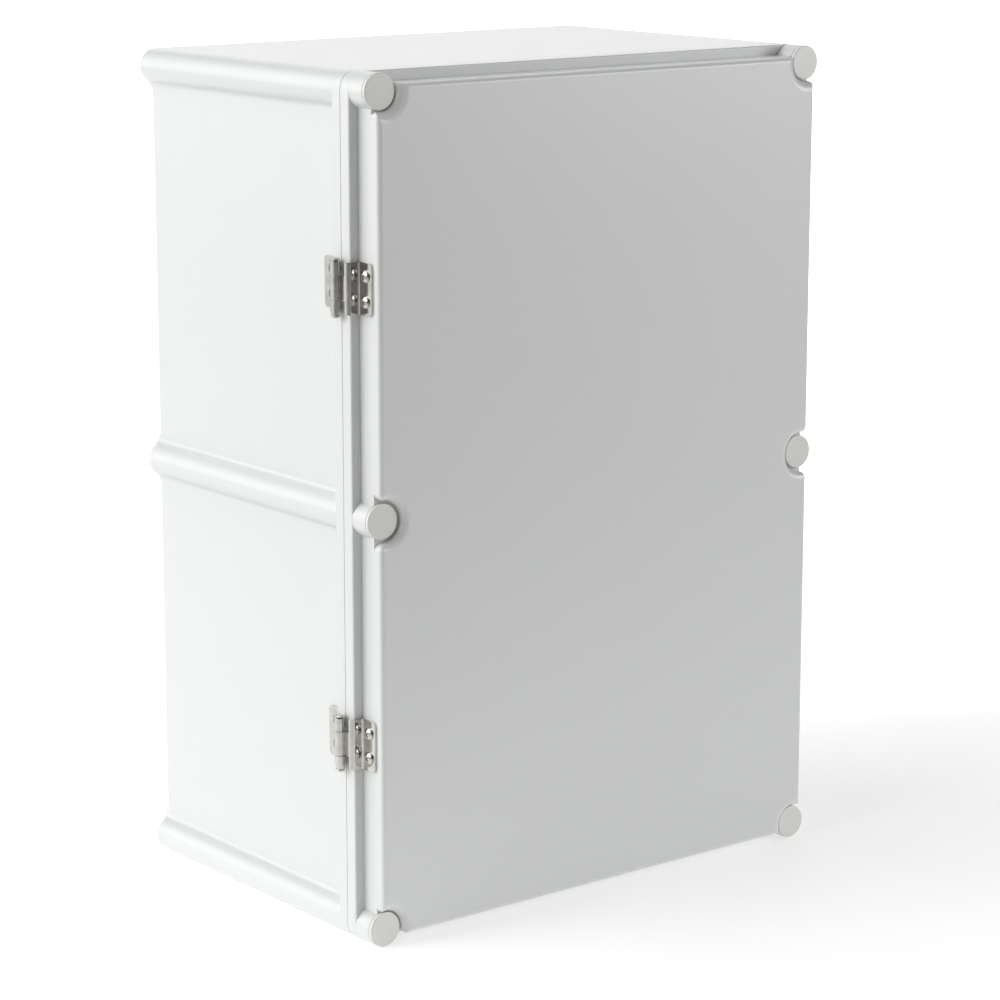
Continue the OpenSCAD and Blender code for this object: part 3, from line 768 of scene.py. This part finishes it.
class ENCLOSURE_OT_studio(bpy.types.Operator):
    """Pale floor, soft lights and the camera"""

    bl_idname = "enclosure.studio"
    bl_label = "Studio"

    def execute(self, context):
        scene = context.scene
        studio = scene.enclosure_studio
        scene.view_settings.view_transform = "Standard"
        self.place_camera(scene, studio)
        self.lay_floor(scene, studio)
        self.light(scene, studio)
        return {"FINISHED"}

    def place_camera(self, scene, studio):
        camera = bpy.data.objects.new("camera", bpy.data.cameras.new("camera"))
        scene.collection.objects.link(camera)
        camera.data.sensor_width = 36
        camera.data.lens = studio.focal_length
        camera.data.shift_x, camera.data.shift_y = studio.shift
        camera.data.clip_end = 200
        camera.location = studio.camera_place
        camera.rotation_euler = Euler((math.pi / 2 - studio.tilt, 0, -studio.heading))
        scene.camera = camera

    def lay_floor(self, scene, studio):
        half_width = 60.0
        mesh = bmesh.new()
        bmesh.ops.create_grid(mesh, x_segments=8, y_segments=8, size=half_width)
        floor_z = min(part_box(node)[0].z for node in NODES)
        bmesh.ops.translate(mesh, verts=mesh.verts, vec=(0, 0, floor_z))
        data = bpy.data.meshes.new("floor")
        mesh.to_mesh(data)
        mesh.free()
        floor = bpy.data.objects.new("floor", data)
        scene.collection.objects.link(floor)
        data.materials.append(self.board(studio))

    def board(self, studio):
        # Matt white board with a painted glow, though it is no lamp: it gives off light under
        # the object and along the sweep behind it, wider and brighter towards the back, and fades
        # to plain board at the rim. Inside the patch its colour is painted whiter, a painted pool of
        # light.
        material, tree, coords = new_material("Matt white board with painted glow")
        sine, cosine = math.sin(studio.heading), math.cos(studio.heading)
        along = add_node(tree, "VectorMath", coords, (sine, cosine, 0), operation="DOT_PRODUCT")
        across = add_node(tree, "VectorMath", coords, (cosine, -sine, 0), operation="DOT_PRODUCT")

        # How far out a point lies in the lit patch, which grows wider by a seventh for each
        # metre back, and is shorter in front.
        behind = add_node(tree, "Math", along, 0.0, operation="MAXIMUM")
        before = add_node(tree, "Math", along, 0.0, operation="MINIMUM")
        width = add_node(tree, "Math", behind, 0.14, 1.0, operation="MULTIPLY_ADD")
        sideways = add_node(tree, "Math", across, width, operation="DIVIDE")
        forward = add_node(tree, "Math", before, 1.5, operation="MULTIPLY")
        place = add_node(tree, "CombineXYZ", sideways, forward)
        reach = add_node(tree, "VectorMath", place, operation="LENGTH")
        inner, outer = 0.7 * studio.painted_glow_reach, 1.8 * studio.painted_glow_reach
        lit = add_node(tree, "MapRange", reach, inner, outer, 1.0, 0.0)

        mottle = add_node(tree, "TexNoise", coords, Scale=1 / (60 * MM), Detail=3.0)
        white = add_node(tree, "Mix", mottle, "#dededd", "#dadad9", data_type="RGBA")
        # painted glow: the board gives off light here though it is no lamp
        glow = add_node(tree, "Math", lit, studio.floor_glow, operation="MULTIPLY")
        brighter = add_node(tree, "MapRange", along, 0.2, 2.0, 1.0, 3.2)
        finish_material(
            tree,
            # base colour: painted pool of light, whiter inside the glow patch than the plain board
            # outside
            Base_Color=add_node(tree, "Mix", lit, "#c8c8c6", white, data_type="RGBA"),
            Roughness=0.9,
            Emission_Color="#ffffff",
            Emission_Strength=add_node(tree, "Math", glow, brighter, operation="MULTIPLY"),
        )
        return material

    def light(self, scene, studio):
        world = bpy.data.worlds.new("studio")
        world.use_nodes = True
        background = world.node_tree.nodes["Background"]
        background.inputs["Color"].default_value = linear("#ffffff")
        background.inputs["Strength"].default_value = studio.sky
        scene.world = world

        # Square soft boxes that face the object: the place, the side, and the share of the key.
        for name, place, size, share in (
            ("key_left", (-2.6, 2.2, 1.0), 2.4, 1.0),
            ("side_left", (-3.4, 0.3, 1.5), 2.4, 1.3),
            ("top", (-1.3, 0.8, 2.6), 3.0, 0.9),
            ("back", (2.6, 3.3, 1.5), 3.4, 1.0),
            ("fill_right", (2.6, -2.6, 0.9), 1.8, 1.25),
        ):
            light = bpy.data.lights.new(name, "AREA")
            light.size = size
            light.energy = studio.key * share
            lamp = bpy.data.objects.new(name, light)
            lamp.location = place
            lamp.rotation_euler = (-Vector(place)).to_track_quat("-Z", "Y").to_euler()
            scene.collection.objects.link(lamp)


class ENCLOSURE_PT_panel(bpy.types.Panel):
    bl_label = "Hinged enclosure"
    bl_idname = "ENCLOSURE_PT_panel"
    bl_space_type = "VIEW_3D"
    bl_region_type = "UI"
    bl_category = "Enclosure"

    def draw(self, context):
        scene = context.scene
        for group in (scene.enclosure_finish, scene.enclosure_screws, scene.enclosure_studio):
            for name in group.__annotations__:
                self.layout.prop(group, name)
        for operator in OPERATORS:
            self.layout.operator(operator.bl_idname)


OPERATORS = (
    ENCLOSURE_OT_polycarbonate,
    ENCLOSURE_OT_gasket,
    ENCLOSURE_OT_hinges,
    ENCLOSURE_OT_leaf_screws,
    ENCLOSURE_OT_cover_screws,
    ENCLOSURE_OT_inserts,
    ENCLOSURE_OT_studio,
)
GROUPS = {
    "enclosure_finish": EnclosureFinish,
    "enclosure_screws": EnclosureScrews,
    "enclosure_studio": EnclosureStudio,
}
CLASSES = (*GROUPS.values(), *OPERATORS, ENCLOSURE_PT_panel)


def register():
    for cls in CLASSES:
        bpy.utils.register_class(cls)
    for name, group in GROUPS.items():
        setattr(bpy.types.Scene, name, PointerProperty(type=group))


def unregister():
    for name in GROUPS:
        delattr(bpy.types.Scene, name)
    for cls in reversed(CLASSES):
        bpy.utils.unregister_class(cls)


def main():
    """Dresses the enclosure and lights it."""
    register()
    for operator in OPERATORS:
        group, name = operator.bl_idname.split(".")
        getattr(getattr(bpy.ops, group), name)()


if __name__ == "__main__":
    main()
